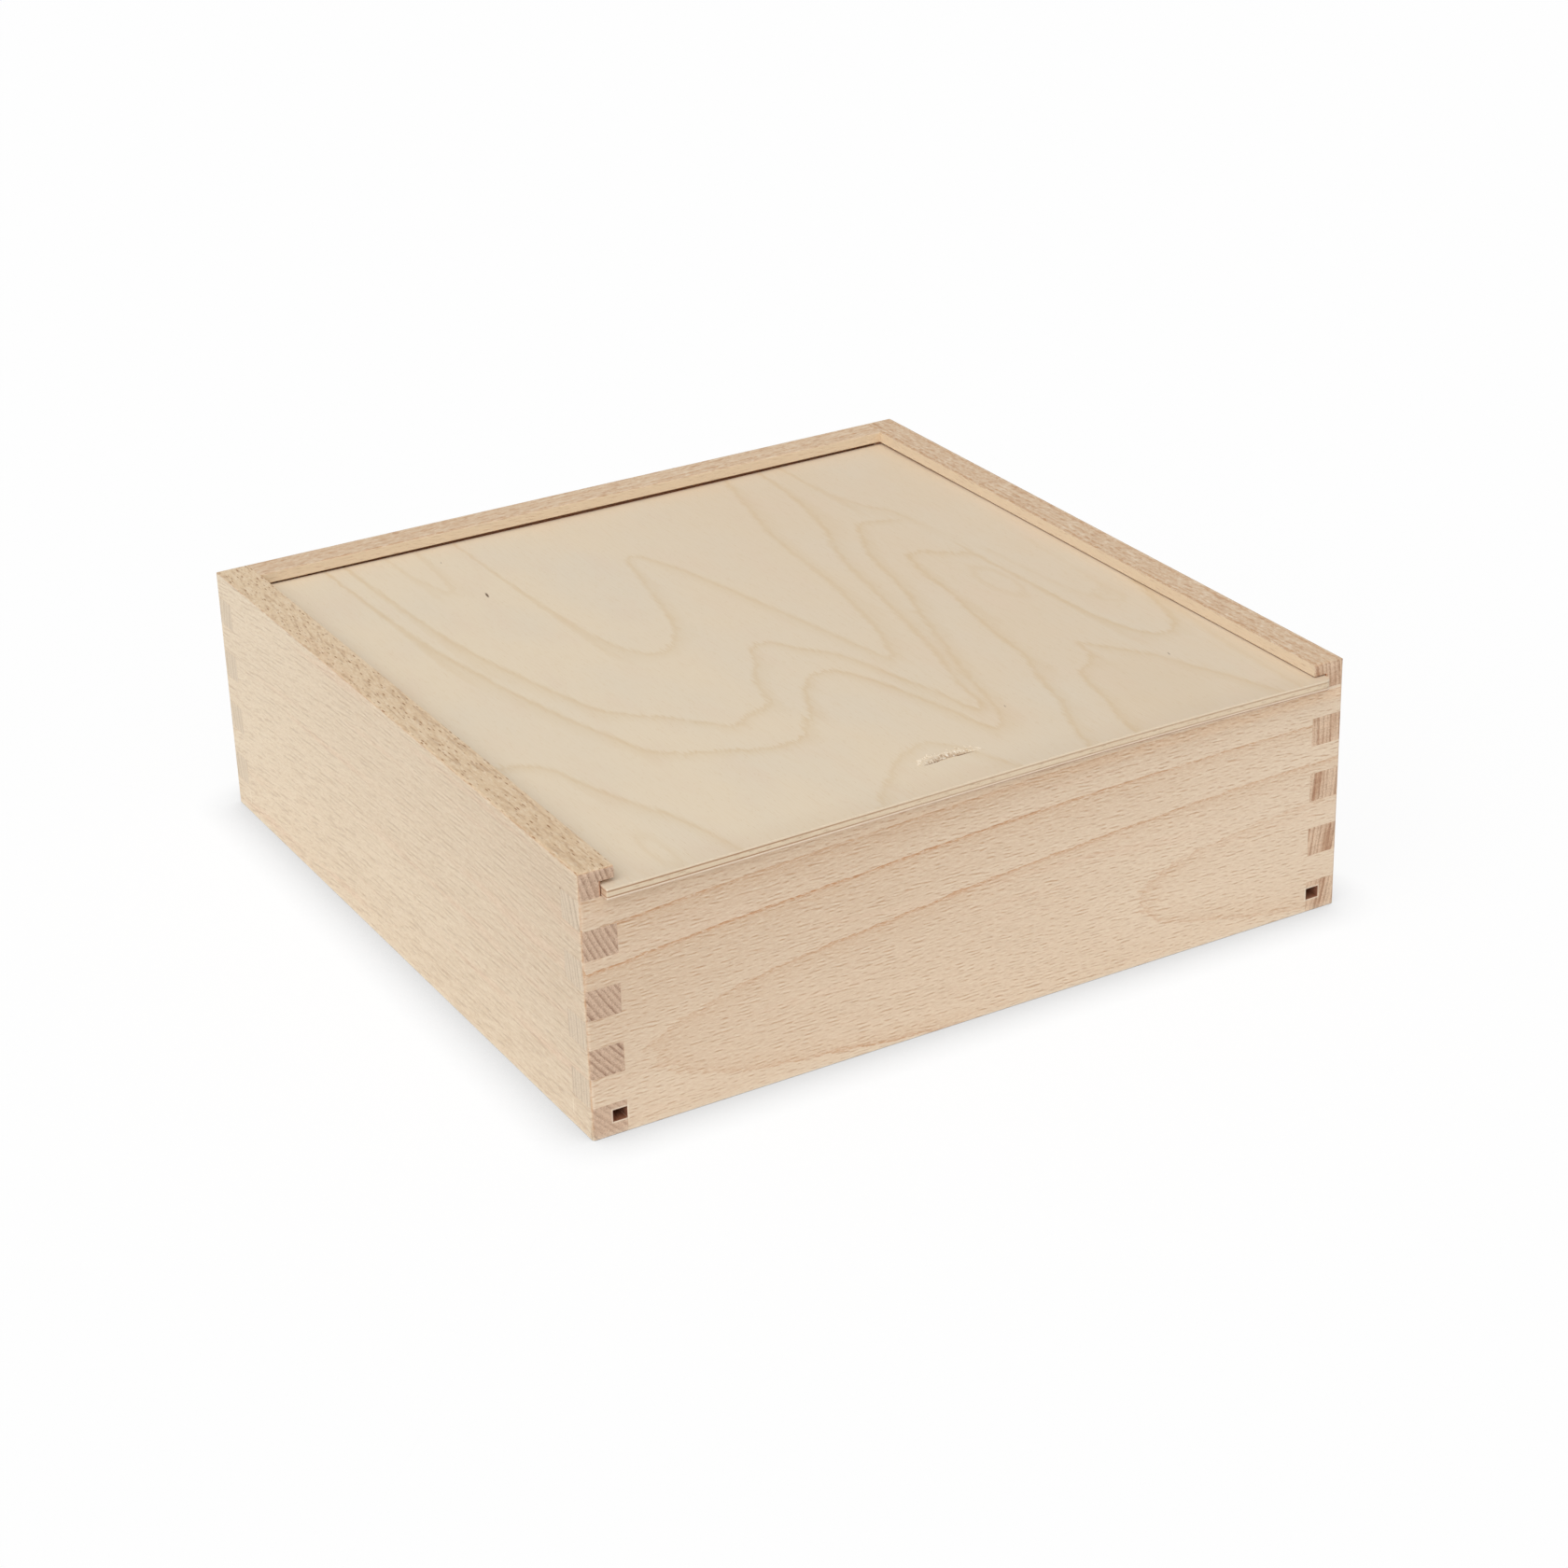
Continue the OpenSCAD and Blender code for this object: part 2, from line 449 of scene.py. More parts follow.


# %% [markdown]
# Now the parts are laid over each other as thin coats of colour: slow changes first, then rings, fibres and
# flecks, then the ends and the traces of the work. Each board is painted darker towards one end or one edge,
# as painted shade, and the front one gets a pale warm band of painted light just under the lid.

# %% Beech: the whole finish
def beech(name, look):
    look = SimpleNamespace(**look)
    material, place, facing, shader = new_finish(name)
    spot = spot_on_board(look, place, facing)
    rings = rings_round(look, spot)
    line, late, early = ring_marks(look, spot, rings)
    dash, flank, ray = flecks_of(look, spot, rings)
    cut, sunk_grain = end_grain(look, spot, rings)
    arris, torn = eased_edge(spot)
    along, z, radius, strand = spot.along, spot.z, rings.radius, rings.strand
    fibre = cloud(vector(radius / 0.7, strand / look.fibre_thin, along / look.fibre_long), 2, 0.6)
    patch = cloud(vector(radius / 16, strand / 14, along / 80), 3)
    rosy = cloud(vector(radius / 5, strand / 6, along / 110 + look.seed), 1).smooth(0.06, 0.3)

    # the mix of pale and warm, plus painted shade: the board drawn darker towards one end, one edge or a
    # corner, where less light falls
    base, by_length, by_height, by_both = look.ageing
    length = (along - HALF_BOX) / HALF_BOX
    rise = (z - HALF_HEIGHT) / HALF_HEIGHT
    tone_and_shade = base + by_length * length + (by_height + by_both * length) * rise
    # painted light: a pale warm band on the front board just under the lid, where the lid's overhang casts
    # its shade
    under = z.smooth(FRONT_TOP - 6, FRONT_TOP - 3) * z.fade(FRONT_TOP - 1.2, FRONT_TOP - 0.6)
    wood = layered(
        blend(patch * look.patch + tone_and_shade, look.pale, look.warm),
        (rosy * look.rosy, look.rose),
        (under * (0.55 + 0.45 * length) * look.under, look.under_tone),
        (late * (0.8 + fibre * 2) * look.late, look.brown),
        (early * look.early, look.light),
        (line * (0.7 + fibre * 3) * look.line, look.ring_line),
        (spot.edge * look.edge, look.edge_tone),
        ((fibre * look.fibre).above(0), look.brown),
        ((fibre * -look.fibre).above(0), look.light),
        (dash * (look.dash + spot.edge * look.edge_dash), look.fleck),
        (flank * look.dash * 0.8, look.light),
        (ray * (look.ray + spot.edge * look.edge_ray), look.fleck),
        (spot.end, cut),
    )
    wood = work_marks_and_shade(look, spot, wood, arris, torn, dash * 0.3 + fibre * 0.5)

    rough = 0.6 + 0.12 * fibre - 0.08 * dash + 0.1 * spot.end
    height = fibre * 0.8 - ray * 0.4 - dash * 0.5 - sunk_grain * spot.end + arris * torn * 4
    coat(shader, wood, rough, height, look.relief, shine=0.3)
    return material


# %% [markdown]
# Each board was cut from its own plank, so each has its own heart, ring width and colour.
# The front board is slash-sawn: its heart lies far behind it, and rings run out on the face as flames.
# The left board is cut at a slant, so its end shows rings at half a right angle.

# %% The four boards' own grain
COMMON = dict(
    heart_slope=0, heart_tilt=0, heart_bend=0, blunt=4, drift=0.6, waver=0.25,
    uneven=1.6, line_width=1.5, line_fade=0, late_width=6, lean=0, lean_curve=0,
    late=0.3, early=0.16, line=0.95, calm=(0, -100), top_fade=0,
    ageing=(0.5, 0, 0, 0), patch=1.2, rosy=0.25, under=0, foot_pale=0,
    fibre=1.35, fibre_thin=0.3, fibre_long=1.6,
    dash=0.5, dash_from=0.06, dash_thin=0.48, dash_long=4.0, flank=0.62,
    ray=0.12, ray_deep=3.0, ray_thin=0.55, ray_long=5.0,
    edge=0.5, edge_ray=0.2, edge_dash=-0.1, relief=0.12,
    pale=tone(227, 206, 181), warm=tone(221, 197, 171), light=tone(240, 226, 204),
    brown=tone(204, 166, 130), ring_line=tone(188, 124, 70), fleck=tone(178, 126, 84),
    rose=tone(228, 194, 168), under_tone=tone(248, 216, 182),
    edge_tone=tone(214, 183, 148), rim_tone=tone(237, 216, 187),
    groove_tone=tone(140, 76, 46), slide_tone=tone(228, 166, 124),
    end_pale=tone(216, 187, 162), end_mid=tone(187, 154, 130), end_dark=tone(134, 96, 74),
    end_broad=0, end_stroke=0.75, saw=0.3, torn=0.75, torn_tone=tone(192, 136, 86),
)
BOARD_LOOKS = {
    "front_board": dict(
        COMMON, grain=0, seed=53.9, axes=lambda x, y: (x + HALF_BOX, y + HALF_BOX),
        heart_depth=190, heart_slope=-0.0097, heart_height=21, heart_tilt=0.0386,
        heart_bend=-0.000138, blunt=16, ring=2.96, inner_ring=1.78, first_ring=189.8,
        drift=0.35, uneven=0, lean=-0.025, calm=(120, 46),
        late=0.38, late_width=7, line_fade=0.45,
        ageing=(0.62, -0.42, 0.42, -0.28), patch=0.6, under=0.45, top_fade=0.65,
        pale=tone(231, 210, 185), warm=tone(217, 192, 165),
        end_pale=tone(225, 207, 184), end_mid=tone(216, 197, 173), end_dark=tone(188, 166, 142),
    ),
    "back_board": dict(
        COMMON, grain=0, seed=7.7, axes=lambda x, y: (HALF_BOX - x, HALF_BOX - y),
        heart_depth=150, heart_slope=0.02, heart_height=52, ring=2.6, inner_ring=2.2,
        first_ring=148, lean=0.06, ageing=(0.45, 0.45, 0, 0),
        end_pale=tone(227, 210, 187), end_mid=tone(220, 202, 178), end_dark=tone(201, 181, 156),
    ),
    "left_board": dict(
        COMMON, grain=1, seed=5.3, axes=lambda x, y: (HALF_BOX - y, x + HALF_BOX),
        heart_depth=122, heart_height=121, ring=1.9, inner_ring=1.9, first_ring=100,
        late=0.06, early=0.05, line=0.08, lean=0.09, lean_curve=-0.0002,
        ageing=(0.36, 0.37, 0.05, 0.23), patch=0.7, rosy=0.35, foot_pale=0.4,
        ray=0.03, ray_deep=0.75, ray_thin=0.65, ray_long=3.6, dash=0.24, dash_from=0,
        dash_thin=0.52, dash_long=9, flank=0.72, edge_dash=0.1, edge_ray=0.8,
        fibre=1.8, fibre_thin=0.28, fibre_long=2, relief=0.15,
        pale=tone(231, 213, 187), warm=tone(216, 195, 169), brown=tone(202, 173, 141),
        fleck=tone(150, 104, 66), edge_tone=tone(220, 187, 143),
    ),
    "right_board": dict(
        COMMON, grain=1, seed=11.9, axes=lambda x, y: (y + HALF_BOX, HALF_BOX - x),
        heart_depth=250, heart_height=62, ring=1.7, inner_ring=1.7, first_ring=248,
        lean=0.05, saw=0.6, end_broad=3.6, end_stroke=0.5, uneven=2.4,
        edge_tone=tone(208, 177, 142),
        end_pale=tone(228, 200, 172), end_mid=tone(192, 152, 122), end_dark=tone(150, 104, 76),
    ),
}
beeches = {node: beech(f"beech_{node}", look) for node, look in BOARD_LOOKS.items()}
print("beech finishes:", {name: len(m.node_tree.nodes) for name, m in beeches.items()})

# %% [markdown]
# The boards keep the CAD's fingers, grooves and holes exactly. What a machine leaves and a hand takes off
# is added: the eased arrises are rounded, the long inner edges lose their sharpness, and a hair of
# chamfer round each finger makes the joint line that shows where two boards meet.

# %% Helpers that copy a solid and round its edges
# an outward edge counts as square if it bends by more than this, in degrees
SQUARE = 80


def solid_of(node):
    """A copy of a CAD solid, its loose triangles merged into whole faces."""
    shape = bmesh.new()
    shape.from_mesh(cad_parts[node].data)
    bmesh.ops.remove_doubles(shape, verts=shape.verts, dist=0.002 * MM)
    bmesh.ops.dissolve_limit(shape, angle_limit=math.radians(1), verts=shape.verts, edges=shape.edges)
    return shape


def corner(edge):
    """How far an edge bends, in degrees: positive where it stands out."""
    return math.degrees(edge.calc_face_angle_signed(0))


def square_edges(shape, shortest=0, longest=math.inf):
    """The outward square edges of a shape whose length, in millimetres, lies in this range."""
    return [e for e in shape.edges
            if corner(e) > SQUARE and shortest * MM <= e.calc_length() <= longest * MM]


def round_over(shape, edges, width, segments):
    made = bmesh.ops.bevel(shape, geom=list(edges), offset=width * MM, offset_type="OFFSET", affect="EDGES",
                           segments=segments, profile=0.5, material=-1, clamp_overlap=True)
    for face in made["faces"]:
        face.smooth = segments > 1
    return len(made["faces"])


def piece(shape, name, body, node, slot, material):
    """Turns a finished bmesh into a piece of the object."""
    mesh = bpy.data.meshes.new(name)
    shape.to_mesh(mesh)
    shape.free()
    made = bpy.data.objects.new(name, mesh)
    into_scene(made)
    mesh.materials.append(material)
    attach(made, body)
    if node:
        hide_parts(node)
    return made


# %% [markdown]
# Length tells the edges of a board apart: those of a groove's hole are the shortest, and those of a finger
# come next. Each kind is rounded by its own amount. Round its foot the box was hardly eased, so
# what lies low is pressed flatter in the end.

# %% Soften the four boards
ARRIS_ROUND, LONG_EDGE_ROUND, FRONT_TOP_ROUND, HOLE_ROUND, JOINT_CHAMFER = 0.5, 0.35, 0.3, 0.3, 0.07
LONG_EDGE, HOLE_EDGE, FINGER_EDGE = 150, 6, 13
FOOT_HEIGHT, FOOT_SQUASH = 1.4, 0.18


def on_outside(edge):
    return all(min(abs(abs(v.co.x) - HALF_BOX * MM), abs(abs(v.co.y) - HALF_BOX * MM)) < 0.001 * MM
               for v in edge.verts)


def under_lid(edge):
    """Whether it is the front board's upper edge, which the lid passes over."""
    return all(v.co.y < (0.1 - HALF_BOX) * MM and v.co.z > (FRONT_TOP - 1) * MM for v in edge.verts)


for node in BOARD_LOOKS:
    board = solid_of(node)
    eased = [e for e in board.edges if 40 < corner(e) < 50]
    arrises = round_over(board, eased, ARRIS_ROUND, 3)
    round_over(board, filter(under_lid, square_edges(board, LONG_EDGE)), FRONT_TOP_ROUND, 4)
    lengths = round_over(board, square_edges(board, LONG_EDGE), LONG_EDGE_ROUND, 3)
    round_over(board, filter(on_outside, square_edges(board, 0, HOLE_EDGE)), HOLE_ROUND, 2)
    joints = filter(on_outside, square_edges(board, 0, FINGER_EDGE))
    chamfers = round_over(board, joints, JOINT_CHAMFER, 1)
    for vert in board.verts:
        if vert.co.z < FOOT_HEIGHT * MM:
            vert.co.z *= FOOT_SQUASH
    slot = node.replace("_board", "")
    made = piece(board, node + "_wood", "box", node, "beech_" + slot, beeches[node])
    print(node, "rounded faces:", arrises, lengths, chamfers, "all faces:", len(made.data.polygons))

# %% [markdown]
# The lid and the bottom are birch plywood: a thin veneer on each side of a core that runs crosswise.
# The veneer is peeled off the log, so the knife cuts rings at a very low angle and they show as wide,
# wandering contour lines. A noise could draw such lines, but not where they lie on this lid. So
# each line is a curve that gives, for a place across the sheet, how far forward the line has come.

# %% The lines of the lid's figure
# for each line: its strength, the points it passes, as places across the sheet from the left and forward
# from the back, and, where they are long, how far its two ends fade, all in millimetres
LID_LINES = [
    (0.8, [(76.5, -10), (77.4, 60), (78.8, 92), (81, 110), (85, 123), (92, 130), (99, 125),
        (106, 113), (112, 91), (118, 65), (124.5, 47), (130, 58), (136, 81), (141, 110), (146, 139),
        (150, 163), (153.5, 177), (157, 170), (162, 155), (166, 135), (170, 110), (173, 80), (178, 50),
        (184, 26), (190, -4)]),
    (0.9, [(34, -10), (35.5, 40), (38, 85), (42, 111), (47, 134), (54, 160), (61, 169), (70, 178),
        (79, 189), (84, 194), (91, 190), (101, 186), (106, 171), (114, 156), (123, 141.5), (133, 154),
        (141, 167), (147, 194), (151, 210), (154.6, 228), (160, 207), (166, 188), (171, 165), (178, 130),
        (184, 97), (189, 80), (196, 60), (200, 40), (204, 0)]),
    (1.0, [(26.5, -10), (27.7, 55), (29.5, 82), (33, 110), (37, 136), (42, 160), (47, 178),
        (52, 195), (58, 201), (68, 207), (81, 213.5), (90, 216), (97, 215), (103, 206), (109, 199),
        (114, 187), (119, 180), (124.5, 174), (129, 174), (134, 178), (139, 191), (143, 207), (147, 225),
        (152, 243), (156, 238), (160, 228), (165, 207), (171, 185), (176, 168), (182, 148), (187, 133),
        (191, 115), (196, 92), (200, 82), (205, 71), (209, 67), (215, 69), (224, 73)], (1, 8)),
    (1.0, [(166, 275), (171, 258), (175, 248), (179, 238), (184, 218), (190, 200), (192, 183),
        (195, 165), (199, 145), (201, 125), (204, 110), (206, 104), (209, 102), (213, 103), (217, 107),
        (222, 112), (226, 116), (227, 132), (228, 172), (229.5, 188), (231.5, 199), (235, 208), (240, 211),
        (245, 209), (250, 198), (255, 182), (260, 165)]),
    (0.9, [(184, 275), (188, 258), (191, 248), (194, 235), (198, 223), (205, 217), (209, 211),
        (211, 202), (215, 207), (220, 215), (226, 224), (230, 236), (235, 248), (240, 263), (244, 275)]),
    (0.7, [(213, -10), (214.5, 35), (217, 45), (220, 55), (223.5, 61), (226, 75), (229, 95)], (1, 6)),
    (0.9, [(0, 180), (8, 181.5), (15, 184), (20, 190), (24, 205), (28, 218), (33, 231), (37, 242),
        (41, 260), (43.5, 275)]),
    (0.7, [(90, 272), (97, 262), (105, 254), (113, 246), (121, 242), (126, 240), (131, 244),
        (136, 254), (140, 267), (143, 275)]),
    (0.5, [(49.5, -10), (50.5, 20), (53, 33), (56, 41.5), (58.5, 30), (61, 8), (62, -10)]),
    (0.35, [(230, 110), (232.5, 120), (234, 145), (237, 165), (242, 172), (246, 165), (248, 140),
        (250, 110)], (3, 3)),
    (0.5, [(250, 275), (252, 230), (254.5, 205), (257, 185), (260, 172)]),
]
# small closed rings: middle across and forward, half width, half length, strength
LID_LOOPS = [(219, 142, 5, 15, 0.7), (243.5, 173, 4, 6, 0.5), (22, 258, 3, 12, 0.5)]
print("lines of the lid's figure:", len(LID_LINES), "and loops:", len(LID_LOOPS))

# %% [markdown]
# A Float Curve node holds each line. Dividing by the curve's own slope keeps the line's width even where
# it runs steeply. Beside a steep stretch the slope misleads, so the line must also pass close by.
# On its front side each line has a soft glow.

# %% Birch: contour lines
SHEET_WIDTH, CURVE_TOP = 260, 400
# steps to either side, for the slope and for the neighbours, as shares of the width
SLOPE_STEP, NEARBY = 0.004, 0.02


def line_at(u, points):
    """How far forward a line has come, for a place across the sheet from 0 to 1."""
    curve = [(a / SHEET_WIDTH, b / CURVE_TOP) for a, b in points]
    return u.node("FloatCurve", {"points": curve}, {"Value": u}) * CURVE_TOP


def oval(across, forward, middle, ahead, wide, long):
    """How far a point is from the middle of an oval: 1 on its outline."""
    dx = (across - middle) / wide
    dy = (forward - ahead) / long
    return (dx * dx + dy * dy).math("SQRT")


def one_line(across, forward, strength, points, fade=(1, 1)):
    """One contour line: its thin thread and its glow."""
    u = across / SHEET_WIDTH
    here, left, right = (line_at(w, points) for w in (u, u - NEARBY, u + NEARBY))
    rise = line_at(u + SLOPE_STEP, points) - line_at(u - SLOPE_STEP, points)
    slope = rise / (2 * SLOPE_STEP * SHEET_WIDTH)
    gap = (forward - here) / (slope * slope + 1).math("SQRT")
    highest = here.above(left).above(right)
    lowest = here.math("MINIMUM", left).math("MINIMUM", right)
    shown = (forward - highest).fade(4, 14) * (lowest - forward).fade(4, 14)
    start, stop = points[0][0] - 1, points[-1][0] + 1
    shown = shown * across.smooth(start, start + fade[0]) * across.fade(stop - fade[1], stop)
    thread = abs(gap).fade(0.1, 1.9) * shown * strength
    glow = gap.smooth(-0.8, 0.2) * gap.fade(0.5, 7) * shown * strength
    return thread, glow


def contour_lines(across, forward):
    """All threads and all glows, the strongest at each point."""
    figure, shade = one_line(across, forward, *LID_LINES[0])
    for line in LID_LINES[1:]:
        thread, glow = one_line(across, forward, *line)
        figure = figure.above(thread)
        shade = shade.above(glow)
    for middle, ahead, wide, long, strength in LID_LOOPS:
        ring = (oval(across, forward, middle, ahead, wide, long) - 1) * wide
        figure = figure.above(abs(ring).fade(0.1, 1.8) * strength)
    return figure, shade


# %% [markdown]
# The sheet's edges show end grain, a brown glue line where the veneer meets the core, and along the lower
# arris a dark line of painted shade, for the gap under the lid. The finger notch is cut across the fibres,
# so they stand up pale, with painted shade in the gaps between them, in the deep part of the hollow and
# along its front wall.
# The glue lines follow a height kept from before the sheet was bowed.

# %% Birch: edges, notch and knots
NOTCH_MIDDLE, NOTCH_HALF, NOTCH_FRONT, NOTCH_REACH = -2.7, 11.5, -126.0, 5.6


def rest_height(wire):
    """The height of a point before its sheet was bowed, in millimetres."""
    return wire.node("Attribute", {"attribute_name": "rest_height"}, None, out="Fac")


def sheet_edge(look, x, hatch, lift, sideways):
    glue = abs(lift - look.glue).fade(0.05, 0.5)
    rubbed = abs(lift - look.rubbed).fade(0.1, 0.5)
    return layered(
        blend((hatch + 0.2) * 0.5, look.edge, look.edge_dark),
        (glue * (0.9 - 0.3 * x.smooth(-90, 0)), look.glue_tone),
        # painted shade: a dark line along the lower arris, for the shadow in the gap between the lid and the
        # front board
        (rubbed * (0.35 + 0.35 * x.smooth(-60, 30)), look.rub_tone),
        # painted highlight: the rounded corners and side-facing edges of the sheet drawn paler, where they
        # turn towards the left lamp
        (sideways.smooth(0.2, 0.5) * 0.15, look.torn_pale),
        (sideways.smooth(0.88, 0.97) * 0.4, look.side_tone),
    )


def in_notch(look, wood, y, drop, sunk, ragged):
    # painted shade: the hollow drawn browner with depth, dark in the gaps between torn fibres, and darkest
    # along the steep front wall
    steep = drop / (y - NOTCH_FRONT + 0.05)
    return layered(
        wood,
        (sunk * drop.smooth(0.1, 0.7) * 0.45, look.torn_dark),
        (sunk * ragged.smooth(0.02, 0.16) * 0.85, look.torn_pale),
        (sunk * ragged.fade(-0.18, -0.02) * 0.6, look.torn_dark),
        (sunk * steep.smooth(0.28, 0.5) * 0.85, look.notch_dark),
    )


def pin_knots(look, wood, x, y):
    """The stumps of buds, dark and no bigger than a grain of rice."""
    for knot_x, knot_y, size in look.knots:
        off = oval(x - (y - knot_y) * 0.2, y, knot_x, knot_y, 0.45 * size, 2.2 * size)
        wood = blend(off.fade(0.5, 1.3) * (0.3 + 0.6 * size), wood, look.knot)
    return wood


# %% [markdown]
# The lines are feathered: each fibre carries the edge of a line a little further, or less, so three noises
# shake the place that the curves are asked for. The ground is a pale cream that is warmer and darker to the
# right, a painted falloff of the light from the left, with grey and rosy clouds, fine streaks and short
# vessels.

# %% Birch: the whole finish
def birch(name, look):
    look = SimpleNamespace(**look)
    material, place, facing, shader = new_finish(name)
    x, y, z = place.parts()
    seed = look.seed
    sideways, _, upward = facing.parts()
    across = look.across(x)
    feather = cloud(vector(x / 0.8, y / 30, seed), 2, 0.7)
    jag = cloud(vector(x / 3, y / 6, seed + 2), 2, 0.7)
    wander = cloud(vector(x / 22, y / 60, seed + 4), 2)
    moved = across + 1.5 * wander + 2.5 * jag
    forward = look.forward(y) + 11 * feather + 3 * wander + 4 * jag
    figure, shade = contour_lines(moved, forward)

    streak = cloud(vector(x / 0.45, y / 9, z + seed), 2, 0.6)
    vessel = cells(vector(x / 0.8, y / 5.5, seed), "Distance").fade(0.06, 0.2)
    patch = cloud(vector(x / 30, y / 60, seed), 2)
    blush = cloud(vector(x / 12, y / 40, seed + 6), 2)
    uneven = 0.75 + cloud(vector(x / 6, y / 18, seed + 8), 2) + 1.2 * feather
    inner = oval(moved, forward, 100, 62, 16, 48).fade(0.6, 1.2)
    stain = oval(moved, forward, 212, 246, 17, 28).fade(0.6, 1.2)
    handled = y.fade(LID_FRONT - 0.5, LID_FRONT + 15.5)

    wood = layered(
        # painted light: the sheet drawn paler on one side and darker and warmer on the other, for the light
        # falling off away from the left lamp
        blend(across.smooth(40, 230), look.pale, look.warm),
        ((patch * 1.5 + 0.15).above(0) + inner * 0.3, look.grey),
        ((blush * 1.6).above(0), look.blush),
        (shade * look.shade + stain * 0.07, look.line_tone),
        (figure * uneven * look.figure, look.line_tone),
        ((streak * 0.5).above(0), look.line_tone),
        (vessel * 0.25, look.line_tone),
        (handled * 0.08, look.torn_dark),
    )
    wood = pin_knots(look, wood, x, y)

    lift = rest_height(place)
    rim = abs(upward).fade(0.3, 0.7)
    hatch = cloud(vector((x + y) / 1.1, (x - y) / 1.1, z / 4), 2, 0.7)
    wood = blend(rim, wood, sheet_edge(look, x, hatch, lift, abs(sideways)))
    drop = look.top - lift
    sunk = drop.smooth(0.03, 0.2) * upward.smooth(0.4, 0.7)
    ragged = cloud(vector(x / 0.8, y / 1.5, seed), 2, 0.7)
    wood = in_notch(look, wood, y, drop, sunk, ragged)

    rough = 0.55 + 0.15 * streak + 0.1 * rim
    height = streak * 0.6 - vessel * 0.6 + hatch * rim * 2 + ragged * sunk * 8
    coat(shader, wood, rough, height, 0.05, shine=0.3)
    return material


# %% [markdown]
# All the outer veneers share one tree, so one set of tones does for them. The two faces of a sheet and the
# two sheets differ in where the pattern starts. A veneer with no notch, or no painted shade line along its
# lower arris, gets a height below the box for it.

# %% The veneers of the lid and the bottom
NOWHERE = -9
GLUE_TONE, SIDE_TONE = tone(158, 110, 70), tone(190, 144, 110)
VENEER = dict(
    seed=2.0, figure=0.26, shade=0.14, knots=[],
    top=NOWHERE, rubbed=NOWHERE,
    across=lambda x: x + 130, forward=lambda y: 128 - y,
    pale=tone(231, 214, 188), warm=tone(225, 206, 180), grey=tone(224, 211, 191),
    blush=tone(227, 205, 181), line_tone=tone(205, 171, 116), knot=tone(92, 62, 40),
    edge=tone(232, 215, 190), edge_dark=tone(204, 178, 146),
    glue_tone=GLUE_TONE, rub_tone=tone(142, 78, 30), side_tone=SIDE_TONE,
    torn_pale=tone(250, 243, 230), torn_dark=tone(164, 126, 90), notch_dark=tone(112, 76, 48),
)
VENEER_LOOKS = {
    "lid_top_veneer": dict(
        VENEER, glue=LID_TOP_GLUE, top=LID_TOP,
        knots=[(-64.4, 77, 1), (-65, 113.5, 0.4), (100.5, -98, 0.5), (32.5, -103, 0.4)],
    ),
    "lid_under_veneer": dict(
        VENEER, glue=LID_LOW_GLUE, rubbed=LID_UNDER, seed=6.0,
        across=lambda x: 130 - x, edge=tone(244, 228, 206),
    ),
    "bottom_top_veneer": dict(
        VENEER, glue=BASE_TOP_GLUE, seed=8.0, knots=[(52, -31, 1)],
        across=lambda x: 150 - 0.72 * x, forward=lambda y: 170 + 0.8 * y,
    ),
    "bottom_under_veneer": dict(
        VENEER, glue=BASE_LOW_GLUE, seed=13.0, across=lambda x: 118 - 0.85 * x,
    ),
}
veneers = {node: birch(f"birch_{node}", look) for node, look in VENEER_LOOKS.items()}
print("birch finishes:", {name: len(m.node_tree.nodes) for name, m in veneers.items()})

# %% [markdown]
# The core is a plainer layer whose grain runs crosswise. Its glue lines are where it meets the veneers,
# the same distance above and below its own middle.

# %% The crosswise core
LID_MIDDLE = (LID_TOP_GLUE + LID_LOW_GLUE) / 2


def birch_core(name, seed):
    material, place, facing, shader = new_finish(name)
    x, y, z = place.parts()
    sideways, _, upward = facing.parts()
    streak = cloud(vector(x / 9, y / 0.5, z / 0.4 + seed), 2, 0.6)
    patch = cloud(vector(x / 30, y / 12, z / 3 + seed), 2)
    vessel = cells(vector(x / 4, y / 0.7, z / 0.6), "Distance").fade(0.1, 0.35)
    torn = cloud(vector(x / 0.5, y / 2.5, z / 0.5), 3, 0.7)
    rim = abs(upward).fade(0.3, 0.7)
    glue = abs(rest_height(place) - LID_MIDDLE).smooth(0.5, 0.95)
    wood = layered(
        blend(patch + 0.5, tone(231, 213, 186), tone(221, 199, 170)),
        ((streak * 1.1).above(0), tone(192, 162, 128)),
        (vessel * 0.4, tone(176, 142, 108)),
        (torn.smooth(0.05, 0.3) * 0.5, tone(240, 226, 204)),
        (glue * rim * (0.8 - 0.25 * x.smooth(-90, 0)), GLUE_TONE),
        (abs(sideways).smooth(0.88, 0.97) * 0.4, SIDE_TONE),
    )
    coat(shader, wood, 0.7 + 0.2 * streak, streak + torn * 2 - vessel, 0.08, shine=0.25)
    return material


core = birch_core("birch_core", 4.0)
print("core finish:", len(core.node_tree.nodes), "nodes")

# %% [markdown]
# A thin sheet never stays flat. The photographed lid is crowned along its front edge, stands up to the rim
# along its right side, and sags at the middle of its back edge. The CAD lid is flat, so the copy is
# sliced into narrow strips with bisect_plane and every vertex is lifted by a smooth curve. Its height
# before that is kept as an attribute, so that the glue lines still follow the layers.

# %% Helpers that slice and bow a sheet
BOW, BOW_PEAK, RIGHT_RISE, BACK_LEFT_RISE = 1.5, 0.64, 0.8, 0.7
# the bow begins here, because what lies behind is in the back board's groove
HELD_BACK = LID_BACK - 4


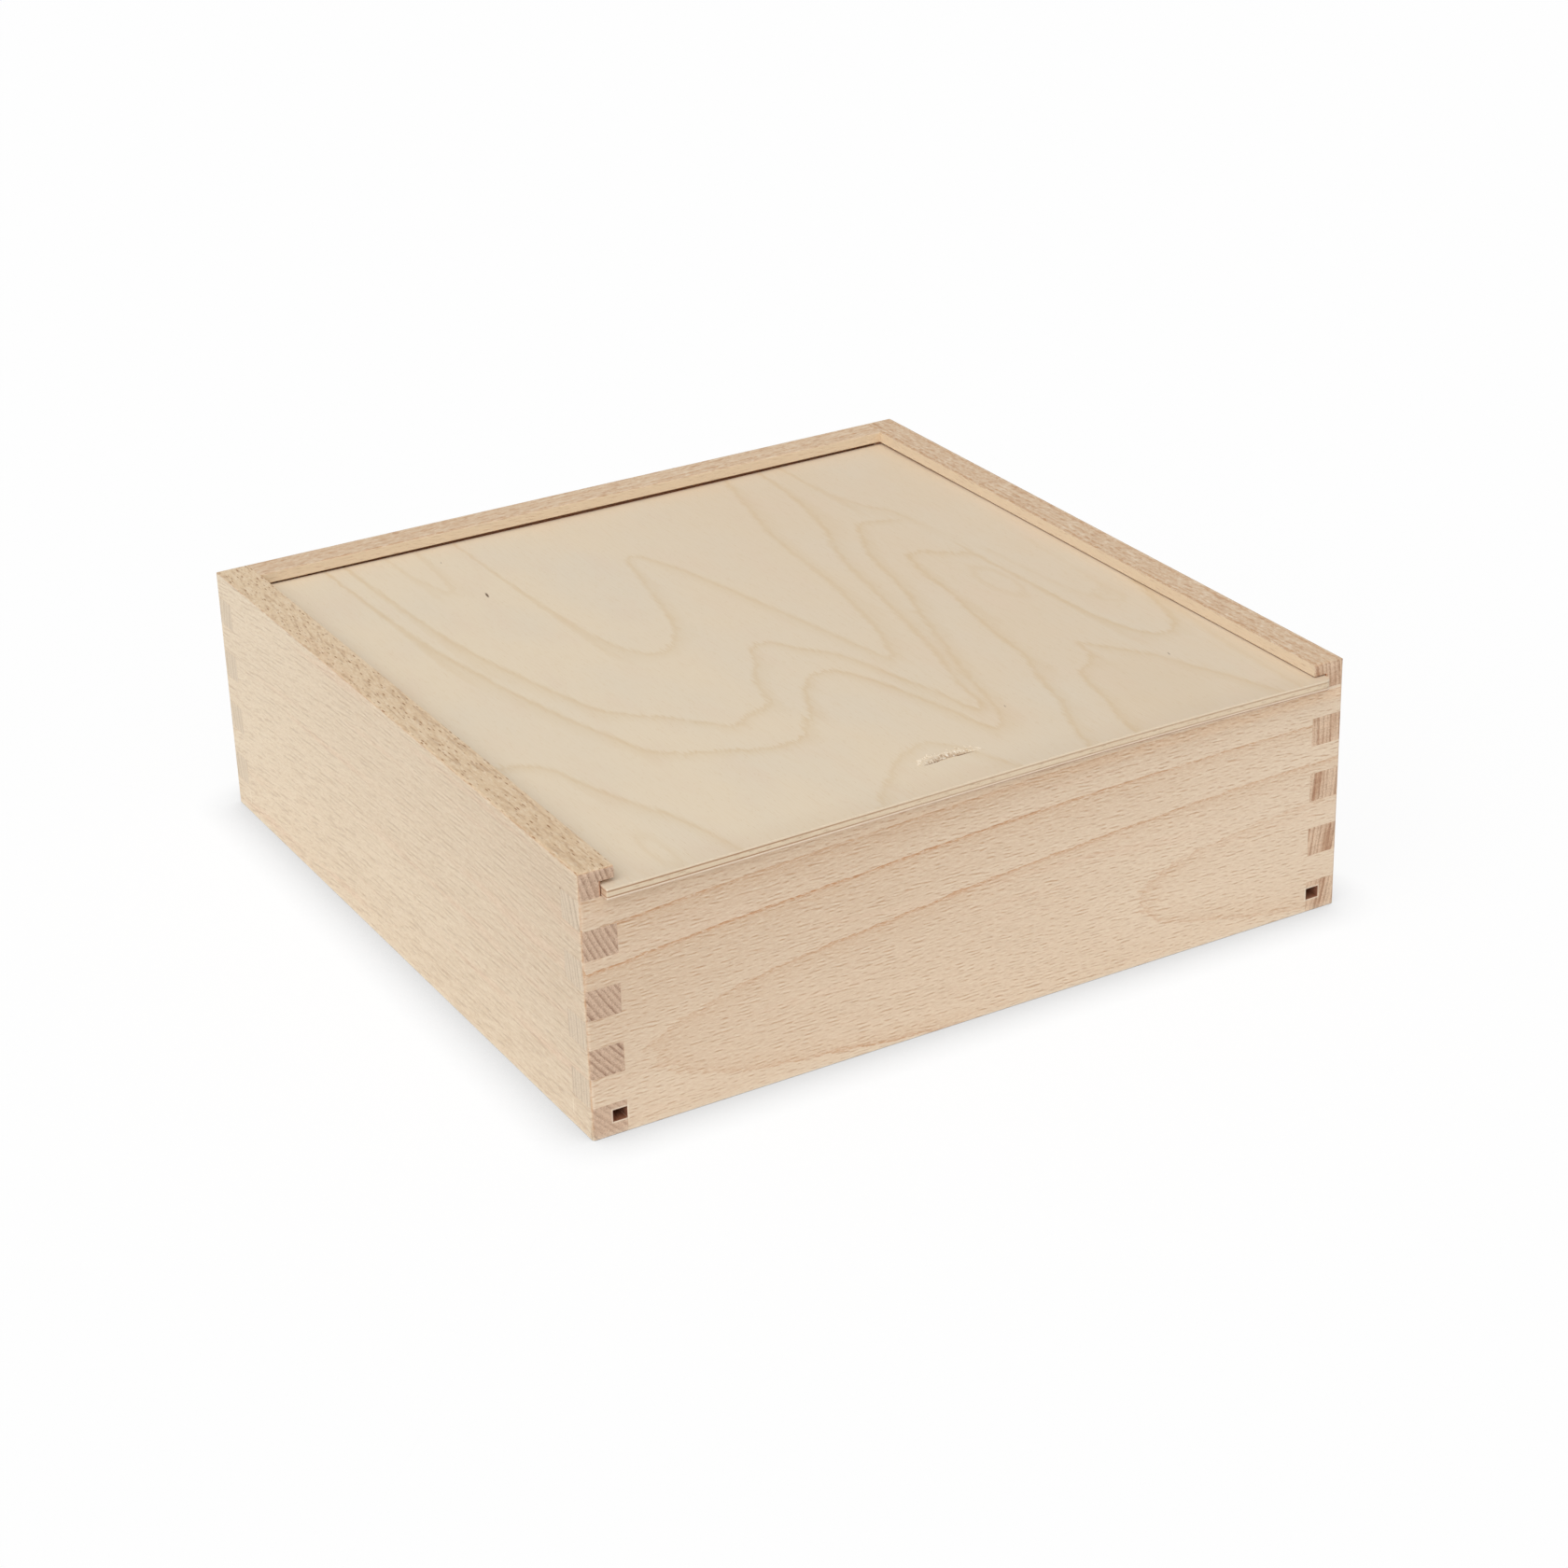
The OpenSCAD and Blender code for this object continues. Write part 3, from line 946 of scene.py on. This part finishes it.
def lift_at(x, y):
    """How far the lid stands above its groove, in millimetres."""
    u = min(max((x + LID_HALF) / (2 * LID_HALF), 0), 1)
    crown = math.sin(math.pi * u ** (math.log(0.5) / math.log(BOW_PEAK)))
    forward = min(max((HELD_BACK - y) / (HELD_BACK - LID_FRONT), 0), 1)
    side = abs(2 * u - 1) ** 1.5
    settled = min(forward / 0.3, 1)
    right = RIGHT_RISE * (0.4 + 0.6 * settled * settled * (3 - 2 * settled))
    left = BACK_LEFT_RISE * (1 - forward)
    return BOW * crown * forward ** 1.6 + side * (right if u > 0.5 else left)


def slice_up(shape, across, step):
    """Cuts a shape into strips of this width, across its first or second axis."""
    low = min(v.co[across] for v in shape.verts)
    high = max(v.co[across] for v in shape.verts)
    normal = Vector((across == 0, across == 1, 0))
    for k in range(1, int((high - low) / step)):
        cut = normal * (low + k * step)
        bmesh.ops.bisect_plane(shape, geom=shape.verts[:] + shape.edges[:] + shape.faces[:],
                               plane_co=cut, plane_no=normal, dist=1e-6)


def note_height(shape):
    layer = shape.verts.layers.float.new("rest_height")
    for vert in shape.verts:
        vert[layer] = vert.co.z / MM


# %% [markdown]
# The three plies are sliced alike, so that they bow as one. Before that their corners are rounded: the
# right ones were sanded round, the left ones only touched. The top one also loses its sharp rim.

# %% Slice and bow the lid
LID_RIGHT_CORNER, LID_LEFT_CORNER, LID_RIM_ROUND = 2.2, 0.4, 0.12
STRIP_ACROSS, STRIP_ALONG = 7, 14


def is_upright(edge):
    return abs(edge.verts[0].co.z - edge.verts[1].co.z) > 0.3 * MM


def ply_piece(ply, node, body):
    slot = "birch_core" if node.endswith("core") else "birch_veneer"
    made = piece(ply, node + "_sheet", body, node, slot, veneers.get(node, core))
    print(node, "faces:", len(made.data.polygons))


for node in ("lid_under_veneer", "lid_core", "lid_top_veneer"):
    ply = solid_of(node)
    upright = [e for e in square_edges(ply) if is_upright(e)]
    right_corners = [e for e in upright if e.verts[0].co.x > LID_HALF / 2 * MM]
    left_corners = [e for e in upright if e.verts[0].co.x < -LID_HALF / 2 * MM]
    round_over(ply, right_corners, LID_RIGHT_CORNER, 5)
    round_over(ply, left_corners, LID_LEFT_CORNER, 3)
    if node == "lid_top_veneer":
        rims = [e for e in square_edges(ply) if all(v.co.z > (LID_TOP - 0.01) * MM for v in e.verts)]
        round_over(ply, rims, LID_RIM_ROUND, 2)
    slice_up(ply, 0, STRIP_ACROSS * MM)
    slice_up(ply, 1, STRIP_ALONG * MM)
    note_height(ply)
    for vert in ply.verts:
        vert.co.z += lift_at(vert.co.x / MM, vert.co.y / MM) * MM
    ply_piece(ply, node, "lid")

# %% [markdown]
# The finger notch was cut across the fibres with a round cutter, and the birch tore: pale slivers lie in
# the hollow and stand up along its back edge. Each sliver is a thin three-sided cone, laid with
# the grain. A bump texture would stay flat at a low light, and these cost almost nothing.

# %% Torn slivers in the finger notch
SLIVERS, NOTCH_DEPTH, SLIVER_LIFT = 130, 1.4, 0.06
# every third sliver stands in the left part of the notch, and is thicker
THICKER_LEFT = 1.8


def torn_birch(name):
    material, place, _, shader = new_finish(name)
    x, y, z = place.parts()
    streak = cloud(vector(x / 0.25, y / 2, z / 0.25), 2, 0.6)
    wood = blend(streak + 0.5, tone(249, 243, 231), tone(226, 206, 176))
    coat(shader, wood, 0.7 + 0.1 * streak, streak, 0.05)
    return material


draw = random.Random(12)
slivers = bmesh.new()
for k in range(SLIVERS):
    t = draw.uniform(-1, 1) if k % 3 else draw.uniform(-0.95, -0.3)
    hollow = math.sqrt(1 - t * t)
    inset = draw.uniform(0.35, 1.05)
    x = NOTCH_MIDDLE + NOTCH_HALF * t
    y = NOTCH_FRONT + NOTCH_REACH * hollow * inset
    thick = draw.uniform(0.1, 0.26) * (1 if k % 3 else THICKER_LEFT)
    made = bmesh.ops.create_cone(slivers, segments=3, radius1=thick * MM, radius2=0.02 * MM,
                                 depth=draw.uniform(0.8, 2.6) * MM, cap_ends=True)
    swing = Matrix.Rotation(draw.uniform(-0.35, 0.35), 4, "Z")
    turn = swing @ Matrix.Rotation(math.pi / 2 + draw.uniform(-0.35, 0.15), 4, "X")
    z = LID_TOP - NOTCH_DEPTH * (1 - inset) * hollow + lift_at(x, y) + SLIVER_LIFT
    put = Matrix.Translation(Vector((x, y, z)) * MM) @ turn
    bmesh.ops.transform(slivers, matrix=put, verts=made["verts"])
made = piece(slivers, "notch_slivers", "lid", None, "birch_veneer", torn_birch("birch_torn"))
print("notch slivers:", len(made.data.polygons), "faces")

# %% [markdown]
# The bottom panel is held in its groove on all four sides, so it stays flat and keeps the CAD's edges,
# which nobody sees. It only needs the heights that its finish asks for.

# %% The bottom panel, flat in its groove
for node in ("bottom_under_veneer", "bottom_core", "bottom_top_veneer"):
    ply = solid_of(node)
    note_height(ply)
    ply_piece(ply, node, "box")

# %% [markdown]
# The box stands on a plain white table under soft light from the upper left. In the photograph the table is
# so bright that only the close shadow at the foot of the box is left. The camera sees the table as plain
# white, by a Light Path node, darkened by how much of the nearby sky the box covers.

# %% Table
TABLE_HALF, TABLE_DROP = 4, 0.02 * MM
SEEN_PLAIN, SHADOW_REACH, SHADOW_SOFT = 0.9, 18 * MM, 0.42

table = bmesh.new()
bmesh.ops.create_grid(table, x_segments=1, y_segments=1, size=TABLE_HALF)
bmesh.ops.translate(table, verts=table.verts, vec=(0, 0, -TABLE_DROP))
mesh = bpy.data.meshes.new("table")
table.to_mesh(mesh)
table.free()
floor = bpy.data.objects.new("table", mesh)
into_scene(floor)

paper = bpy.data.materials.new("table_white")
paper.use_nodes = True
tree = paper.node_tree
tree.nodes.clear()
path = tree.nodes.new("ShaderNodeLightPath")
direct, mirrored, passed = (Wire(tree, path.outputs[f"Is {kind} Ray"])
                            for kind in ("Camera", "Glossy", "Transmission"))
seen = direct.above(mirrored).above(passed) * SEEN_PLAIN
lit = seen.node("BsdfDiffuse", None, {"Color": (0.97, 0.97, 0.97, 1)})
open_sky = seen.node("AmbientOcclusion", {"samples": 4}, {"Distance": SHADOW_REACH}, out="AO")
shadow = open_sky.math("POWER", SHADOW_SOFT)
plain = seen.node("Emission", None, {"Color": vector(shadow, shadow, shadow), "Strength": 1})
both = seen.node("MixShader", None, {0: seen, 1: lit, 2: plain})
end = tree.nodes.new("ShaderNodeOutputMaterial")
tree.links.new(both.socket, end.inputs["Surface"])
mesh.materials.append(paper)
print("table:", [round(v, 2) for v in floor.dimensions])

# %% [markdown]
# One broad soft light to the left of the camera makes the left side the brightest, a weaker one in front
# fills the front, and an even sky does the rest, so shadows stay pale and close to the box.
# They are sun lamps with a wide angle, as light from a wall of white cloth, so the table is lit evenly.

# %% Light
LAMP_SPREAD, SKY_LEVEL = 70, 0.45
# where each lamp stands, and its level
LAMPS = {"left_light": ((-0.55, -0.35, 0.8), 0.59), "front_light": ((0.3, -0.8, 0.6), 0.06)}
for name, (towards, level) in LAMPS.items():
    lamp = bpy.data.lights.new(name, "SUN")
    # at level 1 it shows a surface that faces it in its own colour
    lamp.energy = level * math.pi
    lamp.angle = math.radians(LAMP_SPREAD)
    made = bpy.data.objects.new(name, lamp)
    made.rotation_euler = Vector(towards).to_track_quat("Z", "Y").to_euler()
    into_scene(made)

world = bpy.data.worlds.new("sky")
bpy.context.scene.world = world
world.use_nodes = True
sky = world.node_tree.nodes["Background"]
sky.inputs["Color"].default_value = (1.0, 1.0, 1.0, 1)
sky.inputs["Strength"].default_value = SKY_LEVEL
bpy.context.scene.view_settings.view_transform = "Standard"
print("lamps:", list(LAMPS), "sky strength:", SKY_LEVEL)
